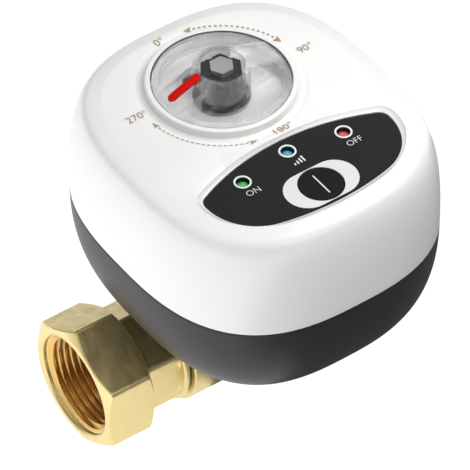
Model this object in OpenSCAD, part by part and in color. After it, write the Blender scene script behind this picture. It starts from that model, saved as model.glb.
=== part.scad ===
// Motorised ball valve for a water pipe, with a hand dial and a small control panel on top.
// The origin is the centre of the inlet's mouth. +X runs with the water, +Z up to the dial, in millimetres.
// The dial's axis is the stem's, half way along the valve, and the panel is on the -Y side of it.

/* [Brass valve] */
// Face to face length of the valve
valve_len = 92; // [88:1:104]
// Width across the flats of the end hexagons
hex_af = 32; // [31:0.5:35]
// Length of each end hexagon
hex_len = 14; // [13.5:0.5:15.5]
// Diameter of the bore that takes the pipe thread
thread_d = 26.5; // [25:0.1:27]
// Depth of that bore
thread_depth = 12.5; // [10:0.5:13.5]
// Width across the flats of the wrench neck
neck_af = 25.5; // [24:0.5:28]
// Length of the wrench neck
neck_len = 10.2; // [8:0.2:11]
// Diameter of the rounded bead behind the neck
bead_d = 30; // [28:0.5:32]
// Length of the bead
bead_len = 1.8; // [1.2:0.2:2.4]
// Outer diameter of the barrel round the ball
barrel_d = 32; // [31:0.5:35]
// Gap between the ball and the inside of the barrel
ball_gap = 0.6; // [0.5:0.1:0.9]
// Diameter of the ball
ball_d = 26; // [25:0.5:26.4]
// Diameter of the waterway
port_d = 17; // [14:0.5:18]
// Length of a seat ring along the pipe
seat_len = 4.6; // [4:0.1:4.8]
// Diameter of the stem
stem_d = 8; // [7:0.25:9]
// Height of the actuator pad's top above the pipe's axis
pad_z = 21.5; // [21:0.5:26]
// Thickness of the actuator pad
pad_t = 4; // [3.5:0.5:4.5]
// Side of the square actuator pad
pad_size = 31; // [30:0.5:33]
// Distance of a pad screw from the stem's axis, along X and along Y
pad_screw_at = 11.5; // [11:0.25:12]

/* [Housing] */
// Width of the housing along the pipe
housing_w = 80; // [76:0.2:88]
// Depth of the housing across the pipe
housing_d = 88.2; // [84:0.2:96]
// Distance from the stem's axis to the back of the housing
housing_back = 30.6; // [27:0.2:34]
// Roundness of the housing's plan: 2 is an ellipse, more is squarer
squareness = 2.75; // [2.6:0.01:3.4]
// Height of the dark lower shell
lower_h = 29; // [28:0.5:34]
// How far the lower shell draws in at the bottom
belly = 16.6; // [12:0.2:17]
// Height of the white upper shell, without the dial's rim
upper_h = 27.9; // [27.5:0.1:34]
// How far the upper shell draws in at the top
shoulder = 6.5; // [6:0.25:9.75]
// Thickness of the shells
wall = 2.2; // [1.8:0.1:2.6]

/* [Dial] */
// Diameter of the clear knob
knob_d = 34.2; // [33:0.2:36]
// Height of the rim round the knob above the housing's top
rim_h = 2; // [1.4:0.1:2.6]
// Depth of the finger hollows below the knob's edge
hollow_h = 3.3; // [2.5:0.1:3.6]
// Diameter of the knob's hub
hub_d = 14.3; // [13.8:0.1:15]
// Height of the hub above the knob's edge
hub_h = 4.6; // [3.6:0.1:6]
// Width of the grip bar across the knob
bar_w = 8.6; // [7.6:0.1:9.6]
// Height of the grip bar's ends above the knob's edge
bar_end_h = 2.2; // [1.6:0.1:2.6]
// Width across the flats of the dial spindle
spindle_af = 5.5; // [5:0.1:5.8]

/* [Control panel] */
// Width of the panel
panel_w = 54; // [52:0.5:56]
// Depth of the panel
panel_depth = 24.5; // [24:0.25:25]
// Distance from the dial's axis to the back edge of the panel
panel_back = 23.3; // [23:0.1:24]
// Thickness of the panel
panel_t = 1.6; // [1.4:0.1:2]
// How far the panel lies below the housing's top
panel_sink = 1; // [0.6:0.1:1.2]
// Diameter of the push button
button_d = 11.2; // [10:0.1:11.6]
// Distance from the dial's axis to the button
button_at = 40.9; // [40.5:0.1:41]
// Travel of the button
button_travel = 0.8; // [0.5:0.1:0.9]
// Length of the pale surround of the button
surround_len = 19.8; // [18:0.2:22]
// Width of that surround
surround_w = 11.9; // [11.8:0.1:12.2]
// Diameter of a lamp
lamp_d = 3; // [2.6:0.1:3.2]
// Outer diameter of a lamp's bezel
bezel_d = 4.2; // [4:0.1:5]
// Distance of the outer lamps from the middle
lamp_pitch = 14.9; // [14:0.1:16]
// Distance from the dial's axis to the outer lamps
lamp_at = 29.6; // [29:0.1:30]
// Distance from the dial's axis to the middle lamp
mid_lamp_at = 27.2; // [27:0.1:28]

/* [Gear train] */
// Module of all the gears
gear_module = 0.7; // [0.64:0.02:0.72]
// Teeth of each pinion
pinion_teeth = 12; // [12:1:13]
// Teeth of each reduction wheel
wheel_teeth = 36; // [32:1:36]
// Teeth of the output gear
output_teeth = 48; // [42:1:48]
// Thinning of each tooth for play between the gears
tooth_play = 0.12; // [0.08:0.01:0.16]
// Face width of the reduction wheels
wheel_face = 3; // [2.4:0.1:3.2]
// Face width of the output gear
output_face = 5; // [4.4:0.1:5.2]
// Diameter of the gear pins
pin_d = 3; // [2.5:0.1:3.2]
// Thickness of the gearbox plates
plate_t = 2; // [1.6:0.1:2.4]
// Diameter of the motor
motor_d = 24.4; // [20:0.2:25]
// Length of the motor's can
motor_len = 20; // [17:0.2:20.2]
// Diameter of the motor's shaft
shaft_d = 2; // [1.6:0.1:2.3]

/* [Power inlet] */
// Diameter of the plug's hole in the power jack
jack_bore_d = 5.6; // [5.5:0.05:5.8]
// Diameter of the jack's barrel
jack_d = 8; // [7.6:0.1:8.4]
// Length of the jack's barrel
jack_len = 10; // [9:0.2:10.4]

/* [Hidden] */
$fn = 48;

// Clearances: a running shaft, a free gap between pieces, and a fixed piece in its seat
running = 0.05;
free_gap = 0.3;
seat_gap = 0.1;

brass = "#d8cd92";
steel = "#c4c6c8";
dark_plastic = "#3b3d40";
white_plastic = "#f2f2f0";
gear_plastic = "#e9e6da";
ptfe = "#f4f1e6";
black = "#1c1c1e";
circuit_green = "#1f6b45";

// Valve
stem_x = valve_len / 2;
neck_end = hex_len + neck_len;
barrel_start = neck_end + bead_len + 0.5;
chamber_d = ball_d + 2 * ball_gap;
seat_reach = 2;
seat_far = ball_d / 2 - seat_reach;
body_seal_w = 0.6;
pad_hole_d = 3.3;
pad_head_d = 5.6;
pad_head_h = 2;
boss_d = 17;
collar_d = stem_d + 4;
collar_z = chamber_d / 2 + running;
collar_t = 1.2;
washer_t = 1.1;
slot_w = 5;
slot_depth = 3.2;
ring_t = 1.2;
stem_ring_z = [for (i = [0, 1]) collar_z + collar_t + washer_t + 0.9 + 2 * i * ring_t];
stem_top = pad_z + 8.5;
square_af = 6;

// Housing
half_w = housing_w / 2;
half_d = housing_d / 2;
centre_y = housing_back - half_d;
parting_z = pad_z + lower_h;
top_z = parting_z + upper_h;
belly_curve = 2.33;
shoulder_curve = 2.6;
floor_t = 2.5;
roof_t = 2;
floor_z = pad_z + floor_t;
tongue_h = 1.2;
gasket_t = 0.7;
plan_points = 56;
profile_steps = 9;
case_screw = [half_w - 17.5, half_d - 17.6];
case_boss_d = 8.4;
case_boss_z = pad_z + 5.5;
screw_hole_d = 3.3;
pilot_d = 2.9;
screw_head_z = pad_z + 9.5;
case_head_d = 5.6;
case_head_h = 2.2;
case_thread = 8;

// Gearbox
foot_h = 2.5;
base_z = floor_z + foot_h;
base_top = base_z + plate_t;
output_z = base_top + 1.5;
wheel_1_z = output_z + output_face + 1;
wheel_2_z = wheel_1_z + wheel_face + 1;
cover_z = wheel_2_z + wheel_face + 1.5;
cover_top = cover_z + plate_t;
pinion_r = gear_module * pinion_teeth / 2;
wheel_r = gear_module * wheel_teeth / 2;
output_r = gear_module * output_teeth / 2;
pin_1_angle = -115;
pin_2_angle = -20;
motor_angle = -120;
pin_1 = (output_r + pinion_r) * [cos(pin_1_angle), sin(pin_1_angle)];
pin_2 = pin_1 + (wheel_r + pinion_r) * [cos(pin_2_angle), sin(pin_2_angle)];
motor_at = pin_2 + (wheel_r + pinion_r) * [cos(motor_angle), sin(motor_angle)];
plate_gap = 0.8;
plate_inset = inside_inset(base_z) + plate_gap;
pillar_at = [half_w - 16.8, half_d - 27.1];
pillar_d = 6;
gearbox_head_d = 5.4;
gearbox_head_h = 1.9;
sleeve_d = 12;
sleeve_flange_d = 17;
sleeve_top = cover_top + 1;
magnet_d = 3;
magnet_r = output_r - 1.2 * gear_module - magnet_d / 2 - 0.5;
motor_top = cover_top + motor_len;
motor_cap_t = 1;
motor_screw_at = motor_d / 2 - 4.2;
motor_screw_d = 2;
motor_head_d = 3.6;
motor_head_h = 0.9;
terminal_at = motor_d / 2 - 6.2;
terminal = [1.8, 0.5];
web_t = 1.6;

// Dial
edge_z = top_z + rim_h;
hollow_z = edge_z - hollow_h;
knob_floor_t = 1.5;
knob_under_z = hollow_z - knob_floor_t;
hub_z = edge_z + hub_h;
knob_r = knob_d / 2;
well_r = knob_r + 0.2;
knob_rim_w = 1.8;
hub_wall = 1.2;
well_floor_z = knob_under_z - 1.3;
well_floor_t = 2;
insert_shank_d = 9;
tab = [6, 1.7, 1.9];
seal_d = 13;
seal_t = 1.2;

// Panel
panel_z = top_z - panel_sink;
pocket_z = panel_z - panel_t;
pocket_floor_t = 2;
back_arc_r = 60;
front_arc_r = 70;
corner_r = 3;
end_r = 14.5;
border_w = 1.5;
board_t = 1.6;
board_top = pocket_z - pocket_floor_t - 3.2;
board_z = board_top - board_t;
flange_d = button_d + 1.4;
lamps = [[-lamp_pitch, -lamp_at], [0, -mid_lamp_at], [lamp_pitch, -lamp_at]];
board_posts = [[-22.3, -32.3], [22.3, -32.3], [-13.5, -42.8], [13.5, -42.8]];
board_head_d = 3.4;
board_head_h = 1.2;
board_screw_d = 1.5;
radio_at = [11.6, -38.5];
radio_size = [8, 10];
jack_z = parting_z - 8.5;
jack_seat_y = housing_back - wall - 2.2;

module at_stem() { translate([stem_x, 0, 0]) children(); }
module along_x() { rotate([0, 90, 0]) children(); }
module at(p) { translate([p[0], p[1], 0]) children(); }

// A ring or a disc between two heights
module ring(z0, z1, d, hole = 0) {
  translate([0, 0, z0]) difference() {
    cylinder(h = z1 - z0, d = d);
    if (hole > 0) translate([0, 0, -1]) cylinder(h = z1 - z0 + 2, d = hole);
  }
}

// A hexagonal bar between two heights
module hex_bar(z0, z1, af) { translate([0, 0, z0]) cylinder(h = z1 - z0, r = af / sqrt(3), $fn = 6); }

// Points of an arc about c, from angle a0 to a1, in n steps
function arc(c, r, a0, a1, n) = [for (i = [0:n]) c + r * [cos(a0 + (a1 - a0) * i / n), sin(a0 + (a1 - a0) * i / n)]];
function without_first(list) = [for (i = [1:len(list) - 1]) list[i]];
function mirrored(list) = [for (i = [len(list) - 2:-1:1]) [-list[i][0], list[i][1]]];

// The housing's plan, a rounded square drawn in by an inset all round
function power(v, e) = sign(v) * pow(abs(v), e);
function plan(inset, n = plan_points) = [
  for (i = [0:n - 1]) [
    (half_w - inset) * power(cos(360 * i / n), 2 / squareness),
    centre_y + (half_d - inset) * power(sin(360 * i / n), 2 / squareness)
  ]
];
function plan_at(z, inset) = [for (p = plan(inset)) [p[0], p[1], z]];

// How far the inside of the lower shell is drawn in at a height
function inside_inset(z) =
  let (s = power((parting_z - z) / (lower_h - floor_t), belly_curve / 2))
  wall + belly * (1 - power(1 - s * s, 1 / belly_curve));

// A shell's side: height above its open edge and inset, from the edge to the closed end
function side(h, draw, curve) = [
  for (i = [0:profile_steps]) [
    h * power(sin(90 * i / profile_steps), 2 / curve),
    draw * (1 - power(cos(90 * i / profile_steps), 2 / curve))
  ]
];

// A solid through a stack of rings with the same number of points, closed at both ends
module loft(rings) {
  n = len(rings[0]);
  points = [for (ring = rings) for (p = ring) p];
  sides = [
    for (j = [0:len(rings) - 2]) for (i = [0:n - 1])
      let (a = j * n + i, b = j * n + (i + 1) % n)
        each [[a, a + n, b + n], [a, b + n, b]]
  ];
  first = [for (i = [0:n - 1]) i];
  last = [for (i = [n - 1:-1:0]) (len(rings) - 1) * n + i];
  polyhedron(points, concat([first], sides, [last]), convexity = 8);
}

// The end that both sides of the valve share: hexagon, wrench neck and bead
module hex_prism(af, length, chamfer) {
  corner = af / sqrt(3);
  along_x() rotate([0, 0, 180]) intersection() {
    cylinder(h = length, r = corner, $fn = 6);
    rotate_extrude() polygon([
      [0, 0], [af / 2 - chamfer, 0], [corner, (corner - af / 2 + chamfer) * 0.5],
      [corner, length - (corner - af / 2 + chamfer) * 0.5], [af / 2 - chamfer, length], [0, length]
    ]);
  }
}

module end_fitting() {
  hex_prism(hex_af, hex_len, 0.5);
  translate([hex_len - 1, 0, 0]) hex_prism(neck_af, neck_len + 1, 0);
  translate([neck_end - 0.6, 0, 0]) along_x() rotate_extrude() polygon(concat(
    [[0, 0], [bead_d / 2 - bead_len / 2, 0]],
    arc([bead_d / 2 - bead_len / 2, 0.6 + bead_len / 2], bead_len / 2, -60, 60, 6),
    [[bead_d / 2 - bead_len / 2, bead_len + 0.6], [0, bead_len + 0.6]]
  ));
}

module end_bore() {
  along_x() rotate_extrude() polygon([
    [0, -1], [thread_d / 2, -1], [thread_d / 2, thread_depth], [port_d / 2 + 2.5, thread_depth], [port_d / 2, thread_depth + 2.5],
    [port_d / 2, stem_x], [0, stem_x]
  ]);
}

module valve_body() color(brass) difference() {
  union() {
    translate([barrel_start, 0, 0]) along_x() rotate_extrude() polygon([
      [0, 0], [barrel_d / 2 - 1, 0], [barrel_d / 2, 1], [barrel_d / 2, valve_len - 2 * barrel_start - 1],
      [barrel_d / 2 - 1, valve_len - 2 * barrel_start], [0, valve_len - 2 * barrel_start]
    ]);
    translate([valve_len, 0, 0]) mirror([1, 0, 0]) end_fitting();
    translate([valve_len - barrel_start - 1, 0, 0]) along_x() cylinder(h = 2, d = bead_d - 1);
    at_stem() cylinder(h = pad_z - 1, d = boss_d);
    at_stem() translate([-pad_size / 2, -pad_size / 2, pad_z - pad_t]) cube([pad_size, pad_size, pad_t]);
  }
  translate([valve_len, 0, 0]) mirror([1, 0, 0]) end_bore();
  translate([barrel_start - 1, 0, 0]) along_x() cylinder(h = stem_x + seat_far - barrel_start + 1, d = chamber_d);
  at_stem() {
    cylinder(h = pad_z + 1, d = stem_d + 2 * running);
    cylinder(h = collar_z + collar_t + washer_t, d = collar_d + 0.2);
    for (x = [-1, 1], y = [-1, 1]) translate([x * pad_screw_at, y * pad_screw_at, pad_z - pad_t - 1])
      cylinder(h = pad_t + 2, d = pad_hole_d);
  }
}

module inlet_connector() color(brass) difference() {
  union() {
    end_fitting();
    translate([neck_end, 0, 0]) along_x() cylinder(h = stem_x - seat_far - neck_end, d = chamber_d - 2 * running);
  }
  end_bore();
}

module body_seal() color(black) translate([barrel_start - 0.5, 0, 0]) along_x()
  ring(0, 0.5, chamber_d + 2 * body_seal_w, chamber_d);

// One seat ring, with its hollow towards the ball
module seat() {
  difference() {
    translate([-seat_far, 0, 0]) along_x() ring(0, seat_len, chamber_d - 0.4, port_d + 0.6);
    sphere(d = ball_d + 0.4);
  }
}

module seat_inlet() color(ptfe) at_stem() seat();
module seat_outlet() color(ptfe) at_stem() mirror([1, 0, 0]) seat();

module ball() color(steel) at_stem() difference() {
  sphere(d = ball_d);
  translate([-ball_d, 0, 0]) along_x() cylinder(h = 2 * ball_d, d = port_d);
  translate([-slot_w / 2 - seat_gap, -ball_d / 2, ball_d / 2 - slot_depth])
    cube([slot_w + 2 * seat_gap, ball_d, slot_depth + 1]);
}

module valve_stem() color(brass) at_stem() difference() {
  union() {
    ring(collar_z, stem_top - 7, stem_d);
    ring(collar_z, collar_z + collar_t, collar_d);
    intersection() {
      ring(ball_d / 2 - slot_depth + free_gap, collar_z + 0.1, collar_d - 1);
      translate([-slot_w / 2, -collar_d, 0]) cube([slot_w, 2 * collar_d, stem_top]);
    }
    intersection() {
      ring(stem_top - 8, stem_top, stem_d);
      translate([-square_af / 2, -square_af / 2, 0]) cube([square_af, square_af, stem_top]);
    }
  }
  for (z = stem_ring_z) translate([0, 0, z]) difference() {
    cylinder(h = ring_t, d = stem_d + 1);
    translate([0, 0, -1]) cylinder(h = 4, d = stem_d - 1.6);
  }
}

module stem_rings() color(black) at_stem()
  for (z = stem_ring_z) ring(z + 0.1, z + ring_t - 0.1, stem_d + 0.06, stem_d - 1.6);

module thrust_washer() color(ptfe) at_stem()
  ring(collar_z + collar_t + 0.1, collar_z + collar_t + washer_t, collar_d, stem_d + 2 * running);

// A pan head screw that hangs from its head's seat at z = 0
module screw(head_d, head_h, d, length) {
  difference() {
    cylinder(h = head_h, d = head_d);
    translate([0, 0, head_h / 2]) cylinder(h = head_h, d = head_d * 0.45, $fn = 6);
  }
  translate([0, 0, -length]) cylinder(h = length + 0.1, d = d);
}

module pad_screws() color(steel) at_stem()
  for (x = [-1, 1], y = [-1, 1]) translate([x * pad_screw_at, y * pad_screw_at, floor_z])
    screw(pad_head_d, pad_head_h, pad_hole_d - 0.2, floor_t + pad_t - 0.5);

module case_screw_places() for (x = [-1, 1], y = [-1, 1])
  translate([x * case_screw[0], centre_y + y * case_screw[1], 0]) children();
module pillar_places() for (x = [-1, 1], y = [-1, 1])
  translate([x * pillar_at[0], centre_y + y * pillar_at[1], 0]) children();

module lower_shell() color(dark_plastic) at_stem() {
  outer = side(lower_h, belly, belly_curve);
  inner = side(lower_h - floor_t, belly, belly_curve);
  last = len(inner) - 1;
  difference() {
    union() {
      loft(concat(
        [for (i = [last:-1:0]) plan_at(parting_z - outer[i][0], outer[i][1])],
        [plan_at(parting_z, wall / 2), plan_at(parting_z + tongue_h, wall / 2), plan_at(parting_z + tongue_h, wall)],
        [for (s = inner) plan_at(parting_z - s[0], s[1] + wall)]
      ));
      case_screw_places() ring(case_boss_z, parting_z - 0.2, case_boss_d);
      pillar_places() ring(floor_z - 0.5, base_z, pillar_d + 0.6);
      translate([0, jack_seat_y, jack_z]) rotate([-90, 0, 0])
        cylinder(h = housing_back + 0.2 - jack_seat_y, d = jack_d + 5);
    }
    case_screw_places() {
      ring(pad_z - 1, screw_head_z, case_head_d + 0.8);
      cylinder(h = parting_z + 2, d = screw_hole_d);
    }
    pillar_places() translate([0, 0, floor_z + 0.2]) cylinder(h = 4, d = pilot_d);
    cylinder(h = floor_z + 1, d = sleeve_flange_d + 1);
    for (x = [-1, 1], y = [-1, 1]) translate([x * pad_screw_at, y * pad_screw_at, 0]) {
      cylinder(h = floor_z + 1, d = pad_hole_d);
      ring(floor_z, base_z, pad_head_d + 2 * free_gap);
    }
    translate([0, housing_back - 8, jack_z]) rotate([-90, 0, 0]) cylinder(h = 10, d = jack_d + 0.2);
  }
}

// The back half of the panel's right side runs clockwise from the middle of its back edge
function meet(a, ra, b, rb) =
  let (d = norm(b - a), x = (ra * ra - rb * rb + d * d) / (2 * d), h = sqrt(ra * ra - x * x), u = (b - a) / d)
  a + x * u + h * [-u[1], u[0]];
function panel_outline(grow = 0) =
  let (
    back_c = [0, -panel_back - back_arc_r],
    front_c = [0, -panel_back - panel_depth + front_arc_r],
    corner_x = panel_w / 2 - corner_r,
    corner_c = [corner_x, back_c[1] + sqrt(pow(back_arc_r - corner_r, 2) - corner_x * corner_x)],
    end_c = meet(corner_c, end_r - corner_r, front_c, front_arc_r - end_r),
    a1 = atan2(corner_c[1] - back_c[1], corner_c[0] - back_c[0]),
    a2 = atan2(corner_c[1] - end_c[1], corner_c[0] - end_c[0]),
    a3 = atan2(end_c[1] - front_c[1], end_c[0] - front_c[0]),
    half = concat(
      arc(back_c, back_arc_r + grow, 90, a1, 6),
      without_first(arc(corner_c, corner_r + grow, a1, a2, 5)),
      without_first(arc(end_c, end_r + grow, a2, a3, 7)),
      without_first(arc(front_c, front_arc_r + grow, a3, -90, 6))
    )
  )
  concat(half, mirrored(half));

// The panel's sunk border slopes up to the housing's top
function border_at(z, grow) = let (o = panel_outline(grow)) [for (i = [len(o) - 1:-1:0]) [o[i][0], o[i][1], z]];

module upper_shell() color(white_plastic) at_stem() {
  outer = side(upper_h, shoulder, shoulder_curve);
  inner = side(upper_h - roof_t, shoulder, shoulder_curve);
  last = len(inner) - 1;
  recess = wall / 2 - 0.1;
  recess_top = parting_z + tongue_h + gasket_t;
  difference() {
    union() {
      loft(concat(
        [for (i = [last:-1:1]) plan_at(parting_z + inner[i][0], inner[i][1] + wall)],
        [plan_at(recess_top, wall), plan_at(recess_top, recess), plan_at(parting_z, recess)],
        [for (s = outer) plan_at(parting_z + s[0], s[1])]
      ));
      ring(well_floor_z - well_floor_t, top_z - 0.5, 2 * well_r + 4.4);
      rotate_extrude() polygon(concat(
        [[well_r - 1, top_z - 1], [well_r - 1, edge_z]],
        arc([well_r + 0.9, edge_z - 0.2], 0.4, 90, 0, 4),
        arc([well_r + 3.3, top_z + rim_h - 0.2], 2, 180, 270, 6),
        [[well_r + 3.3, top_z - 1]]
      ));
      translate([0, 0, pocket_z - pocket_floor_t]) linear_extrude(top_z - pocket_z) polygon(panel_outline(border_w + 0.9));
      for (p = board_posts) at(p) ring(board_top, pocket_z - 1, 4);
      case_screw_places() ring(parting_z, parting_z + 12, case_boss_d);
      for (x = [-1, 1], y = [-1, 1])
        translate([x * case_screw[0], centre_y + y * case_screw[1], recess_top])
          rotate([0, 0, atan2(y * case_screw[1], x * case_screw[0])])
            translate([0, -0.9, 0]) cube([9.7, 1.8, parting_z + 12 - recess_top]);
    }
    ring(well_floor_z, edge_z + 5, 2 * well_r);
    ring(well_floor_z - well_floor_t - 1, edge_z, insert_shank_d + 2 * running);
    ring(well_floor_z - seal_t, edge_z, seal_d);
    translate([0, 0, pocket_z]) linear_extrude(10) polygon(panel_outline(0.15));
    loft([border_at(panel_z, 0.1), border_at(top_z, border_w), border_at(top_z + 5, border_w)]);
    at([0, -button_at]) ring(pocket_z - 5, top_z, flange_d + 0.6);
    for (p = lamps) at(p) ring(pocket_z - 5, top_z, lamp_d + free_gap);
    for (p = board_posts) at(p) ring(board_top - 1, pocket_z - 1.4, 1.6);
    case_screw_places() ring(parting_z - 1, parting_z + 10, pilot_d);
  }
}

module shell_gasket() color(black) at_stem() {
  z = parting_z + tongue_h;
  difference() {
    loft([plan_at(z, wall / 2), plan_at(z + gasket_t, wall / 2)]);
    loft([plan_at(z - 1, wall), plan_at(z + gasket_t + 1, wall)]);
  }
}

module housing_screws() color(steel) at_stem() case_screw_places()
  translate([0, 0, screw_head_z]) mirror([0, 0, 1])
    screw(case_head_d, case_head_h, pilot_d - 0.1, parting_z + case_thread - screw_head_z);

// A plate of the gearbox: the housing's plan, cut clear of the case screws' bosses
module plate(z) {
  difference() {
    translate([0, 0, z]) linear_extrude(plate_t) polygon(plan(plate_inset));
    case_screw_places() ring(z - 1, z + plate_t + 1, case_boss_d + 1);
  }
}

module gearbox_base() color(black) at_stem() difference() {
  union() {
    plate(base_z);
    pillar_places() ring(base_z, cover_z, pillar_d);
    for (p = [pin_1, pin_2]) at(p) ring(base_z, base_top + 0.2, pin_d + 3);
  }
  ring(base_z - 1, base_top + 1, sleeve_d + 2 * running);
  pillar_places() ring(base_z - 1, cover_z + 1, pilot_d);
  for (p = [pin_1, pin_2]) at(p) ring(base_z + 0.6, base_top + 1, pin_d);
  for (x = [-1, 1], y = [-1, 1]) translate([x * pad_screw_at, y * pad_screw_at, base_z - 1])
    cylinder(h = plate_t + 2, d = pad_head_d + 1.4);
}

module gearbox_cover() color(black) at_stem() difference() {
  union() {
    plate(cover_z);
    for (a = [30, 150]) rotate([0, 0, a]) translate([magnet_r, 0, 0]) ring(output_z + output_face + 4, cover_z + 0.1, 3);
  }
  ring(cover_z - 1, cover_top + 1, sleeve_d + 2 * running);
  pillar_places() ring(cover_z - 1, cover_top + 1, pilot_d + 0.2);
  for (p = [pin_1, pin_2]) at(p) ring(cover_z - 1, cover_top - 0.6, pin_d);
  at(motor_at) {
    ring(cover_z - 1, cover_top + 1, 6.2);
    for (x = [-1, 1]) translate([x * motor_screw_at, 0, 0]) ring(cover_z - 1, cover_top + 1, motor_screw_d + seat_gap);
  }
}

module gearbox_screws() color(steel) at_stem() pillar_places()
  translate([0, 0, cover_top]) screw(gearbox_head_d, gearbox_head_h, pilot_d - 0.1, cover_top - floor_z - 0.6);

module gear_pins() color(steel) at_stem()
  for (p = [pin_1, pin_2]) at(p) ring(base_z + 0.6, cover_top - 0.6, pin_d);

// Involute gear outline with a tooth on the +X axis
pressure_angle = 25;
function involute(a) = tan(a) * 180 / PI - a;
function tooth_half(rp, n, r) =
  let (rb = rp * cos(pressure_angle))
  90 / n - tooth_play / 2 / rp * 180 / PI + involute(pressure_angle) - involute(acos(min(1, rb / max(r, rb))));
function gear_outline(n, m) =
  let (
    rp = m * n / 2,
    root = rp - 1.2 * m,
    tip = rp + 0.95 * m,
    base = max(rp * cos(pressure_angle), root + 0.01),
    radii = [root, base, (base + rp) / 2, rp, (rp + tip) / 2, tip],
    down = [for (r = radii) [r, -tooth_half(rp, n, r)]],
    up = [for (i = [len(radii) - 1:-1:0]) [radii[i], tooth_half(rp, n, radii[i])]]
  )
  [for (k = [0:n - 1]) for (q = concat(down, up)) q[0] * [cos(q[1] + 360 * k / n), sin(q[1] + 360 * k / n)]];

module gear(n, z0, z1, turn) {
  translate([0, 0, z0]) rotate([0, 0, turn]) linear_extrude(z1 - z0) polygon(gear_outline(n, gear_module));
}

// A gear that meets the one before it needs a gap towards it
function gap_towards(angle, n) = angle + 180 + 180 / n;

module output_gear() color(gear_plastic) at_stem() difference() {
  gear(output_teeth, output_z, output_z + output_face, pin_1_angle);
  ring(output_z - 1, output_z + output_face + 1, sleeve_d + 2 * running);
  rotate([0, 0, 135]) translate([magnet_r, 0, output_z + output_face - 2]) cylinder(h = 3, d = magnet_d);
  for (z = [output_z, output_z + output_face])
    ring(z - (output_face - web_t) / 2, z + (output_face - web_t) / 2, 2 * magnet_r - magnet_d - 1, sleeve_flange_d + 1);
}

module gear_magnet() color(steel) at_stem() rotate([0, 0, 135]) translate([magnet_r, 0, 0])
  ring(output_z + output_face - 2, output_z + output_face, magnet_d);

module compound_gear(z_low, z_wheel, pinion_turn, wheel_turn) {
  difference() {
    union() {
      ring(base_top + 0.2 + free_gap, z_low + 0.1, pin_d + 2.4);
      gear(pinion_teeth, z_low, z_wheel + 0.1, pinion_turn);
      gear(wheel_teeth, z_wheel, z_wheel + wheel_face, wheel_turn);
      ring(z_wheel + wheel_face - 0.1, cover_z - free_gap, pin_d + 2.4);
    }
    ring(base_z, cover_top, pin_d + 2 * running);
    for (z = [z_wheel, z_wheel + wheel_face])
      ring(z - (wheel_face - web_t) / 2, z + (wheel_face - web_t) / 2, 2 * wheel_r - 5, 2 * pinion_r + 4);
  }
}

module reduction_gear_1() color(gear_plastic) at_stem() at(pin_1)
  compound_gear(output_z - 0.4, wheel_1_z, gap_towards(pin_1_angle, pinion_teeth), pin_2_angle);
module reduction_gear_2() color(gear_plastic) at_stem() at(pin_2)
  compound_gear(wheel_1_z - 0.4, wheel_2_z, gap_towards(pin_2_angle, pinion_teeth), motor_angle);

module motor_pinion() color(brass) at_stem() at(motor_at) difference() {
  gear(pinion_teeth, wheel_2_z - 0.4, wheel_2_z + wheel_face + 0.3, gap_towards(motor_angle, pinion_teeth));
  ring(wheel_2_z - 1, cover_z, shaft_d);
}

module motor_shaft() color(steel) at_stem() at(motor_at) ring(wheel_2_z - 0.5, motor_top - 4, shaft_d);

module motor_can() color(steel) at_stem() at(motor_at) difference() {
  union() {
    translate([0, 0, cover_top]) rotate_extrude() polygon(concat(
      [[0, 0]], arc([motor_d / 2 - 1.2, 1.2], 1.2, -90, 0, 4), [[motor_d / 2, motor_len], [0, motor_len]]
    ));
    ring(cover_z + 0.4, cover_top + 0.1, 6);
  }
  ring(cover_z, motor_top - 3.5, shaft_d + 2 * running);
  for (x = [-1, 1]) translate([x * motor_screw_at, 0, 0]) ring(cover_top - 1, cover_top + 4, motor_screw_d + seat_gap);
}

module motor_end_cap() color(black) at_stem() at(motor_at) {
  ring(motor_top, motor_top + motor_cap_t, motor_d - 2);
  for (x = [-1, 1])
    translate([x * terminal_at - terminal[0] / 2, -terminal[1] / 2, motor_top + motor_cap_t - 0.1])
      cube([terminal[0], terminal[1], board_z - motor_top - motor_cap_t + 0.1]);
}

module motor_screws() color(steel) at_stem() at(motor_at)
  for (x = [-1, 1]) translate([x * motor_screw_at, 0, cover_z]) mirror([0, 0, 1])
    screw(motor_head_d, motor_head_h, motor_screw_d, plate_t + 3);

// An arc of board over the output gear, with a magnetic sensor above each end of the magnet's way
module sensor_board() color(circuit_green) at_stem() {
  z = output_z + output_face + 2.6;
  translate([0, 0, z]) linear_extrude(1.4) polygon(concat(
    arc([0, 0], magnet_r + 2.6, 20, 160, 14), arc([0, 0], magnet_r - 3, 160, 20, 14)
  ));
  for (a = [45, 135]) rotate([0, 0, a]) translate([magnet_r - 1.5, -1.5, z - 1.4]) cube([3, 3, 1.5]);
}

module drive_sleeve() color(steel) at_stem() difference() {
  union() {
    ring(floor_z - 1, sleeve_top, sleeve_d);
    ring(base_top + free_gap, output_z, sleeve_flange_d);
  }
  translate([-square_af / 2, -square_af / 2, floor_z - 2]) cube([square_af, square_af, stem_top - floor_z + 2.2]);
  hex_bar(stem_top + 1, sleeve_top + 1, spindle_af);
  ring(output_z + output_face + 1.9, output_z + output_face + 2.6, sleeve_d + 1, sleeve_d - 1.2);
}

module clutch_washer() color(ptfe) at_stem()
  ring(output_z + output_face, output_z + output_face + 0.6, sleeve_d + 2.4, sleeve_d);

module clutch_spring() color(steel) at_stem() {
  z = output_z + output_face + 0.6;
  ring(z, z + 0.35, sleeve_d + 2, sleeve_d + 0.1);
  for (a = [0:90:270]) rotate([0, 0, a]) translate([sleeve_d / 2 + 0.1, -1, z + 0.3]) cube([0.85, 2, 0.7]);
  ring(z + 0.95, z + 1.3, sleeve_d + 2, sleeve_d + 0.1);
}

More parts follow.
